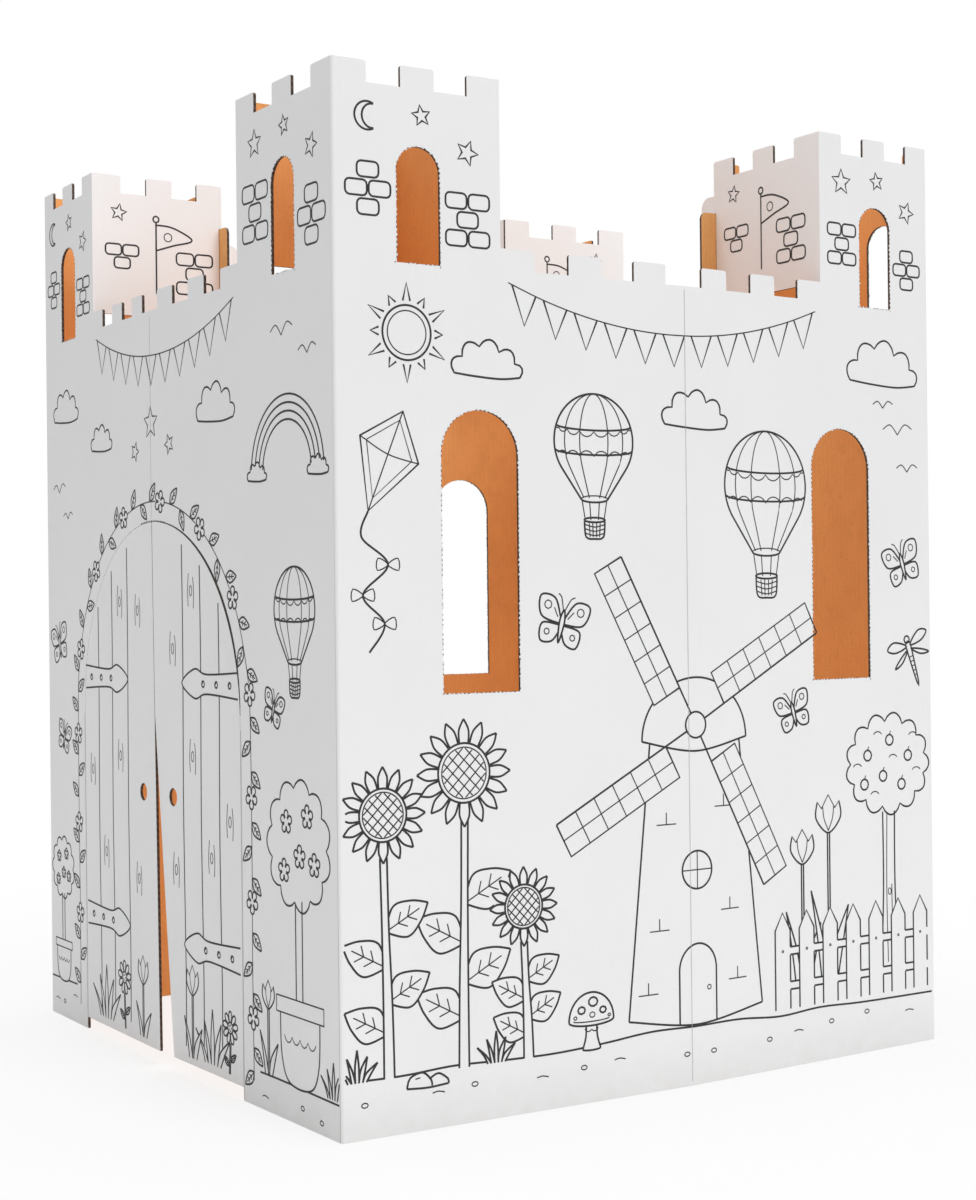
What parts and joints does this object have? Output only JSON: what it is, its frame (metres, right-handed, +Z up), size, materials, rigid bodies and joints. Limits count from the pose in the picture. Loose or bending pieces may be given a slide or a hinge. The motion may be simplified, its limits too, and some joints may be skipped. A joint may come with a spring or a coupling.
{
  "type": "cardboard play castle",
  "caption": "Folded cardboard castle a child can enter: corner towers, battlements, arched windows and a pair of hinged door leaves.",
  "frame": {"origin": "middle of the footprint, on the floor", "axes": "+Z up; the door wall faces -Y, the walls with the big windows face +X and -X, the plain wall faces +Y"},
  "size_m": [0.748, 0.754, 0.978],
  "materials": {
    "white_board": "matt white coating outside",
    "kraft_liner": "bare brown kraft paper inside and on the cut edges",
    "black_print": "thin black line print"
  },
  "bodies": {
    "castle": {"castle_shell": "white_board"},
    "left_door": {"door_leaf_left": "white_board"},
    "right_door": {"door_leaf_right": "white_board"}
  },
  "joints": [
    {"name": "left_door_fold", "type": "hinge", "parent": "castle", "child": "left_door", "pos_m": [-0.2402, -0.37325, 0.19], "axis": [0, 0, -1], "range_deg": [0, 110]},
    {"name": "right_door_fold", "type": "hinge", "parent": "castle", "child": "right_door", "pos_m": [0.1682, -0.37392, 0.19], "axis": [0, 0, 1], "range_deg": [0, 110]}
  ]
}
